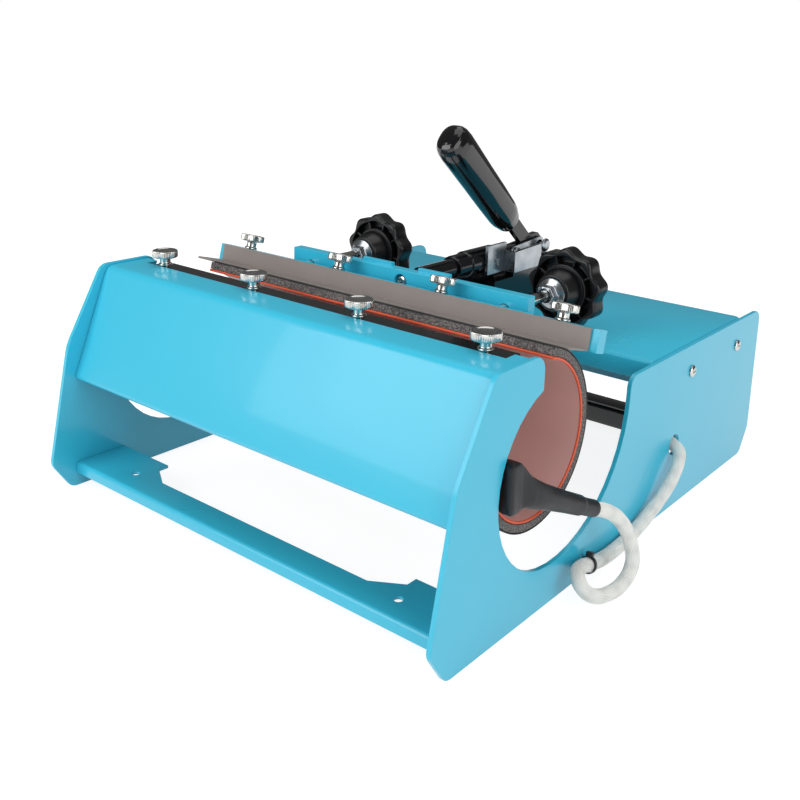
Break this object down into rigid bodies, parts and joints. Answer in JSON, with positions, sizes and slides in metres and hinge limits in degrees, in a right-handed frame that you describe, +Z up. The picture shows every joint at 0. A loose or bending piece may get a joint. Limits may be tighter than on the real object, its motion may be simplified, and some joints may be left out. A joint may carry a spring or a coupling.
{
  "type": "mug heat press",
  "caption": "Bench press for mugs: folded steel frame round a wrap-around heating mat, closed by a toggle clamp with adjusting star knobs.",
  "frame": {"origin": "on the table under the middle of the frame", "axes": "+X along the mug to the lead's side, +Y to the back where the control panel is, +Z up"},
  "size_m": [0.3748, 0.4144, 0.2581],
  "materials": {
    "powder_coat": "turquoise powder coat, satin gloss",
    "black_paint": "black gloss paint",
    "black_plastic": "moulded, satin",
    "grip_vinyl": "dipped vinyl, glossy",
    "chrome_plate": "bright plated",
    "zinc_plate": "zinc plated",
    "grey_steel": "grey painted",
    "silicone_foam": "open cell face, speckled",
    "silicone_skin": "matte",
    "heater_silicone": "smooth silicone",
    "glass_braid": "white braided sleeve",
    "window": "tinted",
    "red_plastic": "glossy",
    "board": "solder mask",
    "brass": "bare"
  },
  "bodies": {
    "frame": {"side_plate_left": "powder_coat", "side_plate_right": "powder_coat", "front_cover": "powder_coat", "front_base_strip": "powder_coat", "rear_cross_bar": "black_paint", "rear_deck": "powder_coat", "deck_screw_left_1": "chrome_plate", "deck_screw_left_2": "chrome_plate", "deck_screw_right_1": "chrome_plate", "deck_screw_right_2": "chrome_plate", "control_panel": "powder_coat", "display_module": "black_plastic", "display_window": "window", "switch_frame": "black_plastic", "mains_inlet": "black_plastic", "circuit_board": "board", "relay": "black_plastic", "board_pillar_left": "brass", "board_pillar_right": "brass", "front_clamp_bar": "black_paint", "mat_bracket_front": "grey_steel", "mat_heater": "heater_silicone", "mat_foam": "silicone_foam", "mat_skin": "silicone_skin", "clamp_body": "black_paint", "clamp_bracket": "zinc_plate", "lever_pivot_pin": "zinc_plate", "lead_boot": "black_plastic", "heater_lead": "glass_braid", "cable_tie": "black_plastic"},
    "pusher": {"push_bar": "powder_coat", "plunger": "black_paint", "plunger_screw": "chrome_plate", "plunger_pin": "zinc_plate", "toggle_link_left": "zinc_plate", "toggle_link_right": "zinc_plate"},
    "jaw": {"jaw_bar": "powder_coat", "mat_bracket_rear": "grey_steel"},
    "handle": {"handle_lever": "zinc_plate", "handle_grip": "grip_vinyl", "crank_pin": "zinc_plate"},
    "knob_left": {"adjusting_rod_left": "chrome_plate", "flange_nut_left": "chrome_plate", "star_knob_left": "black_plastic"},
    "knob_right": {"adjusting_rod_right": "chrome_plate", "flange_nut_right": "chrome_plate", "star_knob_right": "black_plastic"},
    "rocker": {"rocker": "red_plastic"},
    "front_screw_1": {"front_thumbscrew_1": "chrome_plate"},
    "rear_screw_1": {"rear_thumbscrew_1": "chrome_plate"},
    "front_screw_2": {"front_thumbscrew_2": "chrome_plate"},
    "rear_screw_2": {"rear_thumbscrew_2": "chrome_plate"},
    "front_screw_3": {"front_thumbscrew_3": "chrome_plate"},
    "rear_screw_3": {"rear_thumbscrew_3": "chrome_plate"},
    "front_screw_4": {"front_thumbscrew_4": "chrome_plate"},
    "rear_screw_4": {"rear_thumbscrew_4": "chrome_plate"},
    "key_1": {"key_1": "black_plastic"},
    "key_2": {"key_2": "black_plastic"},
    "key_3": {"key_3": "black_plastic"}
  },
  "joints": [
    {"name": "handle_pivot", "type": "hinge", "parent": "frame", "child": "handle", "pos_m": [0, 0.1453, 0.141], "axis": [1, 0, 0], "range_deg": [-60, 7]},
    {"name": "pusher_slide", "type": "slide", "parent": "frame", "child": "pusher", "axis": [0, -1, 0], "range_m": [-0.014, 0.0017], "deforming": ["mat_heater", "mat_foam", "mat_skin"]},
    {"name": "knob_turn_left", "type": "hinge", "parent": "pusher", "child": "knob_left", "pos_m": [-0.088, 0.0255, 0.1497], "axis": [0, 1, 0], "range_deg": [-540, 540]},
    {"name": "knob_turn_right", "type": "hinge", "parent": "pusher", "child": "knob_right", "pos_m": [0.088, 0.0255, 0.1497], "axis": [0, 1, 0], "range_deg": [-540, 540]},
    {"name": "jaw_adjust", "type": "slide", "parent": "pusher", "child": "jaw", "axis": [0, -1, 0], "range_m": [-0.0019, 0.0019], "deforming": ["mat_heater", "mat_foam", "mat_skin"]},
    {"name": "front_screw_turn_1", "type": "hinge", "parent": "frame", "child": "front_screw_1", "pos_m": [-0.1395, -0.1263, 0.16], "axis": [0, 0, 1], "range_deg": [0, 720]},
    {"name": "front_screw_turn_2", "type": "hinge", "parent": "frame", "child": "front_screw_2", "pos_m": [-0.0465, -0.1263, 0.16], "axis": [0, 0, 1], "range_deg": [0, 720]},
    {"name": "front_screw_turn_3", "type": "hinge", "parent": "frame", "child": "front_screw_3", "pos_m": [0.0465, -0.1263, 0.16], "axis": [0, 0, 1], "range_deg": [0, 720]},
    {"name": "front_screw_turn_4", "type": "hinge", "parent": "frame", "child": "front_screw_4", "pos_m": [0.1395, -0.1263, 0.16], "axis": [0, 0, 1], "range_deg": [0, 720]},
    {"name": "rear_screw_turn_1", "type": "hinge", "parent": "jaw", "child": "rear_screw_1", "pos_m": [-0.1395, -0.04635, 0.15584], "axis": [0, 0.2588, 0.9659], "range_deg": [0, 720]},
    {"name": "rear_screw_turn_2", "type": "hinge", "parent": "jaw", "child": "rear_screw_2", "pos_m": [-0.0465, -0.04635, 0.15584], "axis": [0, 0.2588, 0.9659], "range_deg": [0, 720]},
    {"name": "rear_screw_turn_3", "type": "hinge", "parent": "jaw", "child": "rear_screw_3", "pos_m": [0.0465, -0.04635, 0.15584], "axis": [0, 0.2588, 0.9659], "range_deg": [0, 720]},
    {"name": "rear_screw_turn_4", "type": "hinge", "parent": "jaw", "child": "rear_screw_4", "pos_m": [0.1395, -0.04635, 0.15584], "axis": [0, 0.2588, 0.9659], "range_deg": [0, 720]},
    {"name": "key_press_1", "type": "slide", "parent": "frame", "child": "key_1", "axis": [0, -1, 0], "range_m": [0, 0.0012], "stiffness_N_per_m": 400, "springref_m": -0.0005},
    {"name": "key_press_2", "type": "slide", "parent": "frame", "child": "key_2", "axis": [0, -1, 0], "range_m": [0, 0.0012], "stiffness_N_per_m": 400, "springref_m": -0.0005},
    {"name": "key_press_3", "type": "slide", "parent": "frame", "child": "key_3", "axis": [0, -1, 0], "range_m": [0, 0.0012], "stiffness_N_per_m": 400, "springref_m": -0.0005},
    {"name": "rocker_tilt", "type": "hinge", "parent": "frame", "child": "rocker", "pos_m": [-0.042, 0.1762, 0.078], "axis": [1, 0, 0], "range_deg": [0, 14]}
  ],
  "couplings": [
    {"joint": "pusher_slide", "follows": "handle_pivot", "m_per_rad": 0.0133},
    {"joint": "jaw_adjust", "follows": "knob_turn_left", "m_per_rad": 0.00019894},
    {"joint": "knob_turn_right", "follows": "knob_turn_left", "ratio": 1}
  ]
}
